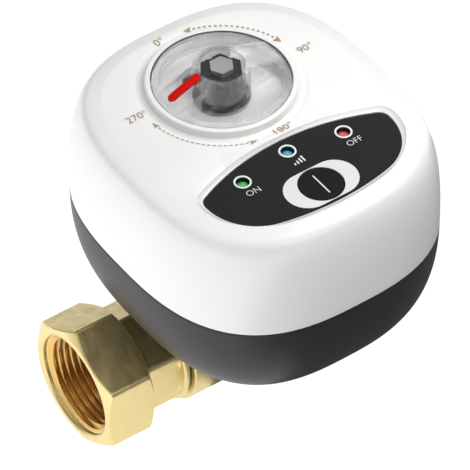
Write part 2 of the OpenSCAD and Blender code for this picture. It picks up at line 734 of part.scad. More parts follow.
module sleeve_clip() color(steel) at_stem() difference() {
  ring(output_z + output_face + 1.9, output_z + output_face + 2.6, sleeve_d + 2.2, sleeve_d - 1.2);
  translate([0, -1.5, output_z]) cube([sleeve_d, 3, 20]);
}

module dial_spindle() color("#b9bbbd") at_stem() hex_bar(stem_top + 1.2, hub_z, spindle_af);

// The dark coupler that holds the clear knob on the spindle, with an index tab beside the pointer
module knob_insert() color("#2a2c30") at_stem() difference() {
  union() {
    ring(well_floor_z - well_floor_t - 1, knob_under_z, insert_shank_d);
    ring(knob_under_z - 1, knob_under_z, hub_d);
    hex_bar(knob_under_z - 0.1, hub_z - 1.4, (hub_d / 2 - hub_wall - 0.3) * sqrt(3));
    translate([-tab[0] - 3.2, 1.4, hub_z - 4]) cube(tab);
  }
  hex_bar(well_floor_z - 5, hub_z + 1, spindle_af);
  for (a = [0:60:300]) rotate([0, 0, a + 30]) translate([hub_d / 2 - hub_wall - 0.6, 0, knob_under_z + 1.2])
    cylinder(h = hub_h + 4, d = 1.6);
}

module knob() color("#dfe6ea", 0.4) at_stem() difference() {
  bar_end_x = knob_r - knob_rim_w + 0.3;
  union() {
    rotate_extrude() polygon([
      [0, knob_under_z], [knob_r, knob_under_z], [knob_r, edge_z - 0.3], [knob_r - 0.3, edge_z],
      [knob_r - knob_rim_w + 0.4, edge_z], [knob_r - knob_rim_w, edge_z - 0.4],
      [knob_r - knob_rim_w - 1, hollow_z + 0.5], [knob_r - knob_rim_w - 1.8, hollow_z], [0, hollow_z]
    ]);
    rotate_extrude() polygon([
      [0, knob_under_z], [hub_d / 2, knob_under_z], [hub_d / 2, hub_z - 0.35], [hub_d / 2 - 0.35, hub_z], [0, hub_z]
    ]);
    translate([0, bar_w / 2, 0]) rotate([90, 0, 0]) linear_extrude(bar_w) polygon([
      [-bar_end_x, hollow_z - 1], [-bar_end_x, edge_z + bar_end_h], [-hub_d / 2, hub_z - 0.2],
      [hub_d / 2, hub_z - 0.2], [bar_end_x, edge_z + bar_end_h], [bar_end_x, hollow_z - 1]
    ]);
  }
  ring(knob_under_z - 1, hub_z + 1, hub_d - 2 * hub_wall);
  translate([0, bar_w / 2 - 1, 0]) rotate([90, 0, 0]) linear_extrude(bar_w - 2) polygon([
    [-bar_end_x + 1.2, knob_under_z - 1], [-bar_end_x + 1.2, edge_z + bar_end_h - 1], [-hub_d / 2, hub_z - 1.4],
    [hub_d / 2, hub_z - 1.4], [bar_end_x - 1.2, edge_z + bar_end_h - 1], [bar_end_x - 1.2, knob_under_z - 1]
  ]);
}

module pointer() color("#c8140f") at_stem() {
  bar_end_x = knob_r - knob_rim_w + 0.3;
  t = 0.4;
  slope = (hub_z - 0.2 - edge_z - bar_end_h) / (bar_end_x - hub_d / 2);
  tip = bar_end_x - 0.3;
  tip_z = edge_z + bar_end_h + slope * 0.3;
  intersection() {
    translate([0, 0.85, 0]) rotate([90, 0, 0]) linear_extrude(1.7) polygon([
      [-tip, tip_z], [-hub_d / 2, hub_z - 0.2], [-hub_d / 2, hub_z - 0.2 + t], [-tip, tip_z + t]
    ]);
    translate([-(tip + hub_d / 2) / 2, 0, 0]) stadium(tip - hub_d / 2, 1.7, hub_z + 5);
  }
}

module dial_seal() color(black) at_stem()
  ring(well_floor_z - seal_t, well_floor_z, seal_d, insert_shank_d + 2 * running);

module stadium(length, width, t) {
  c = (length - width) / 2;
  linear_extrude(t) polygon(concat(arc([c, 0], width / 2, -90, 90, 16), arc([-c, 0], width / 2, 90, 270, 16)));
}

module control_panel() color("#2f3032") at_stem() difference() {
  translate([0, 0, pocket_z]) linear_extrude(panel_t) polygon(panel_outline());
  at([0, -button_at]) {
    ring(pocket_z - 1, panel_z + 1, button_d + 0.3);
    translate([0, 0, panel_z - 0.5]) stadium(surround_len, surround_w, 2);
  }
  for (p = lamps) at(p) ring(pocket_z - 1, panel_z + 1, bezel_d);
}

module button_surround() color("#d6d6d4") at_stem() at([0, -button_at]) difference() {
  translate([0, 0, panel_z - 0.5]) stadium(surround_len, surround_w, 0.5);
  ring(panel_z - 2, panel_z + 1, button_d + 0.3);
}

module lamp_bezels() color("#f0f0f0") at_stem() for (p = lamps) at(p) ring(pocket_z, panel_z + 0.15, bezel_d, lamp_d + 0.1);

module lamp() {
  top = panel_z - 1;
  translate([0, 0, board_top]) cylinder(h = top - board_top, d = lamp_d - 0.1);
  translate([0, 0, top]) intersection() {
    sphere(d = lamp_d - 0.1);
    cylinder(h = 1, d1 = lamp_d - 0.1, d2 = 1.6);
  }
  ring(board_top, board_top + 0.8, lamp_d + 0.9);
}

module lamp_green() color("#46a052") at_stem() at(lamps[0]) lamp();
module lamp_blue() color("#3fb4cc") at_stem() at(lamps[1]) lamp();
module lamp_red() color("#b8403a") at_stem() at(lamps[2]) lamp();

module button_cap() color(black) at_stem() at([0, -button_at]) {
  ring(pocket_z - 1.2, panel_z - 0.05, button_d);
  ring(pocket_z - 1.2, pocket_z - 0.05, flange_d);
}

module switch_plunger() color("#d8d8d8") at_stem() at([0, -button_at]) ring(board_top + 1, pocket_z - 1.2, 3.2);

module tact_switch() color("#5a5c60") at_stem() at([0, -button_at]) difference() {
  translate([-3, -3, board_top]) cube([6, 6, pocket_z - 1.2 - button_travel - 0.5 - board_top]);
  ring(board_top - 1, pocket_z, 3.4);
}

module control_board() color(circuit_green) at_stem() difference() {
  translate([0, 0, board_z]) linear_extrude(board_t) polygon(panel_outline(-0.8));
  for (p = board_posts) at(p) ring(board_z - 1, board_top + 1, 1.8);
}

module board_screws() color(steel) at_stem() for (p = board_posts) at(p)
  translate([0, 0, board_z]) mirror([0, 0, 1]) screw(board_head_d, board_head_h, board_screw_d, board_t + 2.6);

module radio_module() color("#b4b8bc") at_stem() {
  at(radio_at) {
    translate([0, 0, board_z - 1]) cube([radio_size[0], radio_size[1], 1]);
    translate([0.6, 0.6, board_z - 2.6]) cube([radio_size[0] - 1.2, radio_size[1] - 3, 1.7]);
  }
}

module power_jack() color(black) at_stem() translate([0, housing_back + 0.2, jack_z]) rotate([90, 0, 0]) {
  difference() {
    union() {
      ring(0, jack_len, jack_d);
      ring(-1.2, 0, jack_d + 3);
    }
    ring(-2, jack_len - 1.5, jack_bore_d);
  }
  ring(0.4, jack_len - 1.4, 2);
}

module jack_nut() color(steel) at_stem() translate([0, jack_seat_y, jack_z]) rotate([90, 0, 0]) difference() {
  hex_bar(0, 2, jack_d + 3.5);
  ring(-1, 3, jack_d);
}

valve_body();
inlet_connector();
body_seal();
seat_inlet();
seat_outlet();
ball();
valve_stem();
stem_rings();
thrust_washer();
pad_screws();
lower_shell();
upper_shell();
shell_gasket();
housing_screws();
gearbox_base();
gearbox_cover();
gearbox_screws();
gear_pins();
output_gear();
gear_magnet();
reduction_gear_1();
reduction_gear_2();
motor_pinion();
motor_shaft();
motor_can();
motor_end_cap();
motor_screws();
sensor_board();
drive_sleeve();
clutch_washer();
clutch_spring();
sleeve_clip();
dial_spindle();
knob_insert();
knob();
pointer();
dial_seal();
control_panel();
button_surround();
lamp_bezels();
lamp_green();
lamp_blue();
lamp_red();
button_cap();
switch_plunger();
tact_switch();
control_board();
board_screws();
radio_module();
power_jack();
jack_nut();
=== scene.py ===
"""A motorised ball valve: detailed shells, dial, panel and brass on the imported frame, in a pale studio."""

import math

import bmesh
import bpy
import numpy as np
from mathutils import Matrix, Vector, geometry

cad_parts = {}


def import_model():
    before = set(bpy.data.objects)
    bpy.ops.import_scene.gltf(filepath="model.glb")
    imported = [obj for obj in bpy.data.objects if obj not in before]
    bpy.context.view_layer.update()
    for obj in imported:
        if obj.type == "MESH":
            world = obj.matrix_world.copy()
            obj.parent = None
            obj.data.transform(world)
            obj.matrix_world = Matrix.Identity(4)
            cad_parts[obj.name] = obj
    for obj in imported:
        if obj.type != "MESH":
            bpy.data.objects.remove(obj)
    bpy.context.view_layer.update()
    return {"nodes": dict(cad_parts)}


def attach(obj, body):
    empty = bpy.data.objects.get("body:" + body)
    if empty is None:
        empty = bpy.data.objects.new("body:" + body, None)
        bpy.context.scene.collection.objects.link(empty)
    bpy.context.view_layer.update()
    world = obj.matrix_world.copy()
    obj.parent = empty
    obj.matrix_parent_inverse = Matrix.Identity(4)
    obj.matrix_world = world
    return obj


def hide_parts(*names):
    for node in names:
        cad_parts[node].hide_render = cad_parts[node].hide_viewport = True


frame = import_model()
MM = 0.001

# Sizes in millimetres, the same values as the solids have

STEM_X = 46.0
STEM = (STEM_X, 0.0)
HALF_W, HALF_D, CENTRE_Y, SQUARE = 40.0, 44.1, -13.5, 2.75
PAD_Z, PARTING_Z, TOP_Z = 21.5, 50.5, 78.4
BELLY, BELLY_CURVE, SHOULDER, SHOULDER_CURVE = 16.6, 2.33, 6.5, 2.6
WALL, FLOOR_T = 2.2, 2.5
CASE_SCREW, SCREW_WELL_R, SCREW_HOLE_R = (22.5, 26.5), 3.2, 1.65
JACK_Z, JACK_D = 42.0, 8.0
KNOB_R, WELL_R = 17.1, 17.3
EDGE_Z, HOLLOW_Z, HUB_Z = 80.4, 77.1, 85.0
HUB_D, HUB_WALL, BAR_W = 14.3, 1.2, 8.6
KNOB_UNDER_Z, WELL_FLOOR_Z = 75.6, 74.3
PANEL_Z, POCKET_Z = 77.4, 75.8
BUTTON_AT = 40.9
LAMPS = {"green": (-14.9, -29.6), "blue": (0.0, -27.2), "red": (14.9, -29.6)}
BEZEL_D = 4.2
VALVE_LEN, HEX_AF, HEX_LEN = 92.0, 32.0, 14.0
NECK_AF, NECK_END, BEAD_D, BEAD_LEN = 25.5, 24.2, 30.0, 1.8
BARREL_START, BARREL_D = 26.5, 32.0
THREAD_R, THREAD_DEPTH, PORT_R = 13.25, 12.5, 8.5
PAD_SIZE, PAD_T, BOSS_R = 31.0, 4.0, 8.5

# Forms that are only in the picture, in millimetres and degrees

VALLEY_AT, VALLEY_REACH, VALLEY_DEPTH = 5.4, 2.75, 0.45
DIP_AT, DIP_REACH, DIP_DEPTH = 20.1, 1.6, 0.5
HEX_ROUNDING, HEX_CHAMFER, CHAMFER_BLEND = 1.9, 1.75, 0.22
PRINT_LIFT, DIAL_PRINT_LIFT, CAPITALS = 0.02, 0.12, 0.7
DIAL_LABELS = {
    "0\u00b0": (-3.6, 21.5),
    "90\u00b0": (24.3, -1.0),
    "180\u00b0": (3.2, -20.75),
    "270\u00b0": (-23.2, 2.6),
}
ARC_R = 21.3
DIAL_ARCS = ((11, 81), (183, 259))


# Mesh helpers


def raw_object(name, verts, faces):
    """A mesh in millimetres of the row frame, with no looks yet."""
    mesh = bpy.data.meshes.new(name)
    mesh.from_pydata([Vector(v) * MM for v in verts], [], faces)
    mesh.validate()
    mesh.update()
    obj = bpy.data.objects.new(name, mesh)
    bpy.context.scene.collection.objects.link(obj)
    return obj


def dress(obj, body, material, slot, smooth, replaces=()):
    """Gives a piece its material and its sharp edges, and sets it on a body."""
    obj.data.materials.clear()
    obj.data.materials.append(material)
    if smooth:
        obj.data.shade_smooth()
        obj.data.set_sharp_from_angle(angle=math.radians(smooth))
    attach(obj, body)
    if replaces:
        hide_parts(*replaces)


def new_object(name, verts, faces, *looks):
    dress(raw_object(name, verts, faces), *looks)


def welded_object(name, verts, faces, *looks):
    """A piece whose surfaces are joined where their edges meet."""
    obj = raw_object(name, verts, faces)
    weld(obj)
    dress(obj, *looks)


def weld(obj, distance=0.00001):
    bm = bmesh.new()
    bm.from_mesh(obj.data)
    bmesh.ops.remove_doubles(bm, verts=bm.verts, dist=distance)
    bmesh.ops.recalc_face_normals(bm, faces=bm.faces)
    bm.to_mesh(obj.data)
    bm.free()


def cut(obj, cutter, operation="DIFFERENCE"):
    """Takes closed shapes, in millimetres, out of a closed mesh, or adds them to it."""
    mesh = bpy.data.meshes.new("cutter")
    mesh.from_pydata([Vector(v) * MM for v in cutter[0]], [], cutter[1])
    tool = bpy.data.objects.new("cutter", mesh)
    bpy.context.scene.collection.objects.link(tool)
    boolean = obj.modifiers.new("cut", "BOOLEAN")
    boolean.operation = operation
    boolean.solver = "EXACT"
    boolean.object = tool
    result = bpy.data.meshes.new_from_object(obj.evaluated_get(bpy.context.evaluated_depsgraph_get()))
    obj.modifiers.clear()
    obj.data = result
    bpy.data.objects.remove(tool)


def at_stem(points):
    return [(x + STEM_X, y, z) for x, y, z in points]


def flat(ring):
    return [(x, y) for x, y, z in ring]


def skin(rings, capped=False):
    """Quads through a stack of rings with the same number of points, open or capped at both ends."""
    count = len(rings[0])
    verts = [p for ring in rings for p in ring]
    faces = []
    for j in range(len(rings) - 1):
        for i in range(count):
            a = j * count + i
            b = j * count + (i + 1) % count
            faces.append((a, b, b + count, a + count))
    if capped:
        base = (len(rings) - 1) * count
        faces.append(tuple(reversed(range(count))))
        faces.append(tuple(range(base, base + count)))
    return verts, faces


def circle(cx, cy, r, count):
    turns = [2 * math.pi * i / count for i in range(count)]
    return [(cx + r * math.cos(a), cy + r * math.sin(a)) for a in turns]


def revolve(profile, count, centre, capped=False):
    """A surface of revolution about +Z through a profile of (radius, height)."""
    rings = [[(x, y, z) for x, y in circle(*centre, r, count)] for r, z in profile]
    return skin(rings, capped)


def rod(centre, axis, r, start, end, count=64):
    """A closed cylinder along Z or Y, between two heights on that axis."""
    rings = []
    for h in (start, end):
        if axis == "z":
            rings.append([(centre[0] + u, centre[1] + v, h) for u, v in circle(0, 0, r, count)])
        else:
            rings.append([(centre[0] + v, h, centre[1] + u) for u, v in circle(0, 0, r, count)])
    return skin(rings, capped=True)


def arc_angles(start, end, steps):
    return [math.radians(start + (end - start) * i / steps) for i in range(steps + 1)]


def arc(cx, cy, r, start, end, steps):
    return [(cx + r * math.cos(a), cy + r * math.sin(a)) for a in arc_angles(start, end, steps)]


def fillet(points, radii, steps):
    """A polyline with its inner corners rounded, each by its own radius."""
    out = [points[0]]
    for k in range(1, len(points) - 1):
        a, b, c = (np.array(p, float) for p in points[k - 1 : k + 2])
        u, v = a - b, c - b
        lu, lv = np.linalg.norm(u), np.linalg.norm(v)
        u, v = u / lu, v / lv
        half = math.acos(max(-1.0, min(1.0, float(u @ v)))) / 2
        reach = min(radii[k] / math.tan(half), 0.45 * lu, 0.45 * lv)
        for s in range(steps + 1):
            t = s / steps
            p = (1 - t) ** 2 * (b + u * reach) + 2 * t * (1 - t) * b + t * t * (b + v * reach)
            out.append(tuple(p))
    out.append(points[-1])
    return out


def joined(*parts):
    verts, faces = [], []
    for v, f in parts:
        base = len(verts)
        verts += list(v)
        faces += [tuple(i + base for i in face) for face in f]
    return verts, faces


# The housing's outline


def spread(points, count):
    """The parameters at which a densely sampled curve has even steps."""
    steps = np.linalg.norm(np.diff(points, axis=0), axis=1)
    length = np.concatenate([[0], np.cumsum(steps)])
    wanted = np.linspace(0, length[-1], count)
    return np.interp(wanted, length, np.linspace(0, 1, len(points)))


def power(v, e):
    return np.sign(v) * np.abs(v) ** e


def plan_curve(t, inset=0.0):
    """The housing seen from above, a squared round drawn in by an inset."""
    x = (HALF_W - inset) * power(np.cos(2 * math.pi * t), 2 / SQUARE)
    y = CENTRE_Y + (HALF_D - inset) * power(np.sin(2 * math.pi * t), 2 / SQUARE)
    return np.stack([x, y], 1)


PLAN_T = spread(plan_curve(np.linspace(0, 1, 20001)), 241)[:-1]


def plan_ring(z, inset):
    return at_stem([(x, y, z) for x, y in plan_curve(PLAN_T, inset)])


def side(height, draw, curve, count):
    """A wall seen from the side, as (height, inset), which turns over towards its end."""

    def at(v):
        h = height * power(np.sin(math.pi / 2 * v), 2 / curve)
        d = draw * (1 - power(np.cos(math.pi / 2 * v), 2 / curve))
        return np.stack([h, d], 1)

    return at(spread(at(np.linspace(0, 1, 4001)), count))


def meet(a, ra, b, rb):
    """One of the two points where two circles cross."""
    d = math.dist(a, b)
    x = (ra * ra - rb * rb + d * d) / (2 * d)
    h = math.sqrt(ra * ra - x * x)
    u = ((b[0] - a[0]) / d, (b[1] - a[1]) / d)
    return (a[0] + x * u[0] - h * u[1], a[1] + x * u[1] + h * u[0])


def panel_outline(grow=0.0, fine=3):
    """The panel's outline by four tangent arcs, counted as in the solids."""
    back_r, front_r, corner_r, end_r, width, back_y, depth = 60.0, 70.0, 3.0, 14.5, 54.0, 23.3, 24.5
    back_c = (0.0, -back_y - back_r)
    front_c = (0.0, -back_y - depth + front_r)
    corner_x = width / 2 - corner_r
    corner_c = (corner_x, back_c[1] + math.sqrt((back_r - corner_r) ** 2 - corner_x**2))
    end_c = meet(corner_c, end_r - corner_r, front_c, front_r - end_r)
    a1 = math.degrees(math.atan2(corner_c[1] - back_c[1], corner_c[0] - back_c[0]))
    a2 = math.degrees(math.atan2(corner_c[1] - end_c[1], corner_c[0] - end_c[0]))
    a3 = math.degrees(math.atan2(end_c[1] - front_c[1], end_c[0] - front_c[0]))
    half = arc(*back_c, back_r + grow, 90, a1, 8 * fine)
    half += arc(*corner_c, corner_r + grow, a1, a2, 6 * fine)[1:]
    half += arc(*end_c, end_r + grow, a2, a3, 10 * fine)[1:]
    half += arc(*front_c, front_r + grow, a3, -90, 8 * fine)[1:]
    return half + [(-x, y) for x, y in half[-2:0:-1]]


def panel_border(grow):
    """The recess's outline round the panel, which is narrow at the back and wide at the ends."""
    narrowing, wide_from_x, back_from_y = 0.45, 26.0, -34.0
    outline = []
    for (x0, y0), (x1, y1) in zip(panel_outline(narrowing * grow), panel_outline(grow)):
        t = min(1.0, abs(x0) / wide_from_x) if y0 > back_from_y else 1.0
        outline.append((x0 + (x1 - x0) * t, y0 + (y1 - y0) * t))
    return outline


# Materials

# The part of a noise's range that holds most of its values
NOISE_LOW, NOISE_HIGH = 0.3, 0.7
PATCHES, BUMP_M = 55, 0.00004
METAL_PATCHES, METAL_BUMP_M = 90, 0.00003


def shader(name, color, **inputs):
    material = bpy.data.materials.new(name)
    material.use_nodes = True
    bsdf = material.node_tree.nodes["Principled BSDF"]
    bsdf.inputs["Base Color"].default_value = (*color, 1)
    for key, value in inputs.items():
        bsdf.inputs[key.replace("_", " ")].default_value = value
    return material, bsdf


def noise(material, scale, detail=3.0, rough=0.5, stretch=None):
    nodes, links = material.node_tree.nodes, material.node_tree.links
    coords = nodes.new("ShaderNodeTexCoord")
    source = coords.outputs["Object"]
    if stretch:
        mapping = nodes.new("ShaderNodeMapping")
        mapping.inputs["Scale"].default_value = stretch
        links.new(source, mapping.inputs["Vector"])
        source = mapping.outputs["Vector"]
    texture = nodes.new("ShaderNodeTexNoise")
    texture.inputs["Scale"].default_value = scale
    texture.inputs["Detail"].default_value = detail
    texture.inputs["Roughness"].default_value = rough
    links.new(source, texture.inputs["Vector"])
    return texture.outputs["Fac"]


def spread_to(material, value, low, high, socket):
    """Sends a 0 to 1 value, stretched to a range, to a socket of the shader."""
    nodes, links = material.node_tree.nodes, material.node_tree.links
    ramp = nodes.new("ShaderNodeMapRange")
    ramp.inputs["From Min"].default_value = NOISE_LOW
    ramp.inputs["From Max"].default_value = NOISE_HIGH
    ramp.inputs["To Min"].default_value = low
    ramp.inputs["To Max"].default_value = high
    links.new(value, ramp.inputs["Value"])
    links.new(ramp.outputs["Result"], socket)


def tint(material, value, color_a, color_b, socket):
    """Sends a blend of two colours, set by a 0 to 1 value, to a socket of the shader."""
    nodes, links = material.node_tree.nodes, material.node_tree.links
    ramp = nodes.new("ShaderNodeValToRGB")
    ramp.color_ramp.elements[0].position = NOISE_LOW
    ramp.color_ramp.elements[1].position = NOISE_HIGH
    ramp.color_ramp.elements[0].color = (*color_a, 1)
    ramp.color_ramp.elements[1].color = (*color_b, 1)
    links.new(value, ramp.inputs["Fac"])
    links.new(ramp.outputs["Color"], socket)


def bump(material, bsdf, value, strength, distance):
    nodes, links = material.node_tree.nodes, material.node_tree.links
    node = nodes.new("ShaderNodeBump")
    node.inputs["Strength"].default_value = strength
    node.inputs["Distance"].default_value = distance
    links.new(value, node.inputs["Height"])
    links.new(node.outputs["Normal"], bsdf.inputs["Normal"])


def srgb(r, g, b):
    """The linear colour of a screen colour of 0 to 255."""
    return tuple(((c / 255 + 0.055) / 1.055) ** 2.4 if c > 10 else c / 255 / 12.92 for c in (r, g, b))


def shade(color, k):
    return tuple(min(1.0, c * k) for c in color)


def plastic(name, color, roughness, grain, vary, grain_scale=2600, coat=0.0, gloss=0.45):
    """Moulded plastic: a fine grain, and patches of slightly different tone and gloss."""
    material, bsdf = shader(name, color, Roughness=roughness, Specular_IOR_Level=gloss)
    broad = noise(material, PATCHES, 2.0)
    tint(material, broad, shade(color, 1 - vary), shade(color, 1 + vary * 0.5), bsdf.inputs["Base Color"])
    fine = noise(material, grain_scale, 2.0, 0.6)
    spread_to(material, fine, roughness * 0.88, roughness * 1.12, bsdf.inputs["Roughness"])
    bump(material, bsdf, fine, grain, BUMP_M)
    if coat:
        bsdf.inputs["Coat Weight"].default_value = coat
        bsdf.inputs["Coat Roughness"].default_value = 0.12
    return material


def metal(name, color, roughness, brush, grain, vary, metallic=1.0):
    """Turned or milled metal: tool marks, and a tone and gloss that vary."""
    material, bsdf = shader(name, color, Roughness=roughness, Metallic=metallic)
    marks = noise(material, 1.0, 3.0, 0.6, brush)
    broad = noise(material, METAL_PATCHES)
    tint(material, broad, shade(color, 1 - vary), shade(color, 1 + vary * 0.6), bsdf.inputs["Base Color"])
    spread_to(material, marks, roughness * 0.8, roughness * 1.25, bsdf.inputs["Roughness"])
    bump(material, bsdf, marks, grain, METAL_BUMP_M)
    return material


WHITE = plastic("white_housing", srgb(243, 243, 242), 0.34, grain=0.05, vary=0.012, coat=0.5)
DARK = plastic("dark_housing", srgb(40, 40, 42), 0.42, grain=0.1, vary=0.05, gloss=0.3)
PANEL = plastic("panel_black", srgb(36, 36, 37), 0.5, grain=0.08, vary=0.03, gloss=0.12)
BUTTON = plastic("button_black", srgb(26, 26, 27), 0.55, grain=0.3, vary=0.06, grain_scale=1500, gloss=0.12)
GREY = plastic("surround_grey", srgb(226, 226, 224), 0.45, grain=0.35, vary=0.03, grain_scale=1300)
BEZEL = plastic("bezel_white", srgb(240, 240, 240), 0.3, grain=0.03, vary=0.01)
BLACK = plastic("black_plastic", srgb(28, 28, 30), 0.4, grain=0.1, vary=0.05)
INSERT = plastic("insert_dark", srgb(40, 41, 46), 0.28, grain=0.04, vary=0.05)
GEAR = plastic("gear_plastic", srgb(226, 221, 206), 0.45, grain=0.08, vary=0.03)
SLIP = plastic("slip_plastic", srgb(240, 237, 226), 0.5, grain=0.05, vary=0.02)
RUBBER = plastic("rubber_black", srgb(22, 22, 22), 0.7, grain=0.2, vary=0.08, grain_scale=1200)
BOARD = plastic("circuit_board", srgb(30, 98, 66), 0.35, grain=0.08, vary=0.06, coat=0.4)
RED = plastic("pointer_red", srgb(206, 6, 4), 0.5, grain=0.03, vary=0.05, gloss=0.12)
INK = plastic("printed_gold", srgb(178, 148, 112), 0.5, grain=0.1, vary=0.08)
PRINT = plastic("printed_white", srgb(236, 236, 234), 0.5, grain=0.1, vary=0.03)
BRASS = metal("brass", srgb(226, 206, 146), 0.33, (500, 40, 500), 0.008, 0.02, 0.86)
# The thread and the bore: a darker, warmer copy of the brass, with painted shade and painted reflection of
# brass in brass inside the mouth.
BRASS_SHADED_IN = metal("brass_thread_shaded", srgb(222, 180, 104), 0.3, (200, 200, 200), 0.03, 0.04, 0.9)
STEEL = metal("steel", srgb(196, 198, 200), 0.28, (900, 900, 90), 0.08, 0.05)
SPINDLE = metal("spindle_end", srgb(190, 190, 190), 0.5, (2600, 2600, 2600), 0.5, 0.1)
CHROME = metal("ball_chrome", srgb(214, 216, 218), 0.12, (400, 400, 400), 0.02, 0.03)


def clear_plastic(name, least, most):
    """Clear moulded plastic, whose hold on the light grows towards a grazing angle."""
    color, roughness = (0.97, 0.975, 0.98), 0.03
    material, bsdf = shader(name, color, Roughness=roughness, IOR=1.49, Transmission_Weight=1.0)
    nodes, links = material.node_tree.nodes, material.node_tree.links
    angle = nodes.new("ShaderNodeLayerWeight")
    angle.inputs["Blend"].default_value = 0.35
    ramp = nodes.new("ShaderNodeMapRange")
    ramp.inputs["To Min"].default_value = least
    ramp.inputs["To Max"].default_value = most
    links.new(angle.outputs["Facing"], ramp.inputs["Value"])
    links.new(ramp.outputs["Result"], bsdf.inputs["Alpha"])
    fine = noise(material, 160, 2.0)
    spread_to(material, fine, roughness * 0.7, roughness * 1.5, bsdf.inputs["Roughness"])
    return material


CLEAR = clear_plastic("clear_plastic", 0.25, 0.75)


def lamp_material(name, color):
    """A cut glass lens over a lamp that is all but out."""
    material, bsdf = shader(name, color, Roughness=0.12, IOR=1.5)
    bsdf.inputs["Coat Weight"].default_value = 1.0
    bsdf.inputs["Coat Roughness"].default_value = 0.05
    bsdf.inputs["Emission Color"].default_value = (*color, 1)
    bsdf.inputs["Emission Strength"].default_value = 0.1
    cells = noise(material, 1400, 3.0, 0.7)
    tint(material, cells, shade(color, 0.45), shade(color, 1.5), bsdf.inputs["Base Color"])
    return material


LAMP_LOOK = {
    "green": lamp_material("lamp_green", srgb(72, 168, 84)),
    "blue": lamp_material("lamp_blue", srgb(64, 160, 184)),
    "red": lamp_material("lamp_red", srgb(190, 78, 76)),
}

CAD_LOOKS = {
    "body_seal": RUBBER, "seat_inlet": SLIP, "seat_outlet": SLIP, "ball": CHROME, "valve_stem": BRASS,
    "stem_rings": RUBBER, "thrust_washer": SLIP, "pad_screws": STEEL, "shell_gasket": RUBBER,
    "housing_screws": STEEL, "gearbox_base": BLACK, "gearbox_cover": BLACK, "gearbox_screws": STEEL,
    "gear_pins": STEEL, "output_gear": GEAR, "gear_magnet": CHROME, "reduction_gear_1": GEAR,
    "reduction_gear_2": GEAR, "motor_pinion": BRASS, "motor_shaft": STEEL, "motor_can": STEEL,
    "motor_end_cap": BLACK, "motor_screws": STEEL, "sensor_board": BOARD, "drive_sleeve": STEEL,
    "clutch_washer": SLIP, "clutch_spring": STEEL, "sleeve_clip": STEEL, "dial_spindle": SPINDLE,
    "knob_insert": INSERT, "knob": CLEAR, "pointer": RED, "dial_seal": RUBBER, "control_panel": PANEL,
    "button_surround": GREY, "lamp_bezels": BEZEL, "lamp_green": LAMP_LOOK["green"],
    "lamp_blue": LAMP_LOOK["blue"], "lamp_red": LAMP_LOOK["red"], "button_cap": BUTTON,
    "switch_plunger": GREY, "tact_switch": BLACK, "control_board": BOARD, "board_screws": STEEL,
    "radio_module": STEEL, "power_jack": BLACK, "jack_nut": STEEL, "valve_body": BRASS,
    "inlet_connector": BRASS, "lower_shell": DARK, "upper_shell": WHITE,
}
CAD_SHARP = 28
for name, look in CAD_LOOKS.items():
    mesh = frame["nodes"][name].data
    mesh.materials.clear()
    mesh.materials.append(look)
    mesh.shade_smooth()
    mesh.set_sharp_from_angle(angle=math.radians(CAD_SHARP))


# Housing


RIM_COUNT = 144


def top_cap(loops, z):
    """The flat middle of the housing's top, inside the first loop and outside the other two."""
    coords, edges = [], []
    for loop in loops:
        base = len(coords)
        coords += [Vector(p) for p in loop]
        edges += [(base + i, base + (i + 1) % len(loop)) for i in range(len(loop))]
    result = geometry.delaunay_2d_cdt(coords, edges, [], 1, 1e-6)
    verts, faces = result[0], result[2]
    shapes = [np.array([tuple(p) for p in loop]) for loop in loops]

    def inside(p, loop):
        x, y = p
        a, b = loop, np.roll(loop, -1, axis=0)
        cross = (a[:, 1] > y) != (b[:, 1] > y)
        with np.errstate(divide="ignore", invalid="ignore"):
            at = a[:, 0] + (y - a[:, 1]) * (b[:, 0] - a[:, 0]) / (b[:, 1] - a[:, 1])
        return np.count_nonzero(cross & (x < at)) % 2 == 1

    kept = []
    for face in faces:
        centre = np.mean([tuple(verts[i]) for i in face], axis=0)
        if inside(centre, shapes[0]) and not inside(centre, shapes[1]) and not inside(centre, shapes[2]):
            kept.append(tuple(face))
    return [(v[0], v[1], z) for v in verts], kept


def swell(across):
    """A smooth rise from 0 at -1 to 1 in the middle, and back to 0 at 1."""
    return 0.5 + 0.5 * math.cos(math.pi * min(1.0, abs(across)))


def valley(inset):
    """The depth of the soft valley inside the ridge round the housing's top."""
    return VALLEY_DEPTH * swell((inset - VALLEY_AT) / VALLEY_REACH)


def dial_dip(r):
    """The depth of the soft valley round the dial's rim."""
    return DIP_DEPTH * swell((r - DIP_AT) / DIP_REACH)


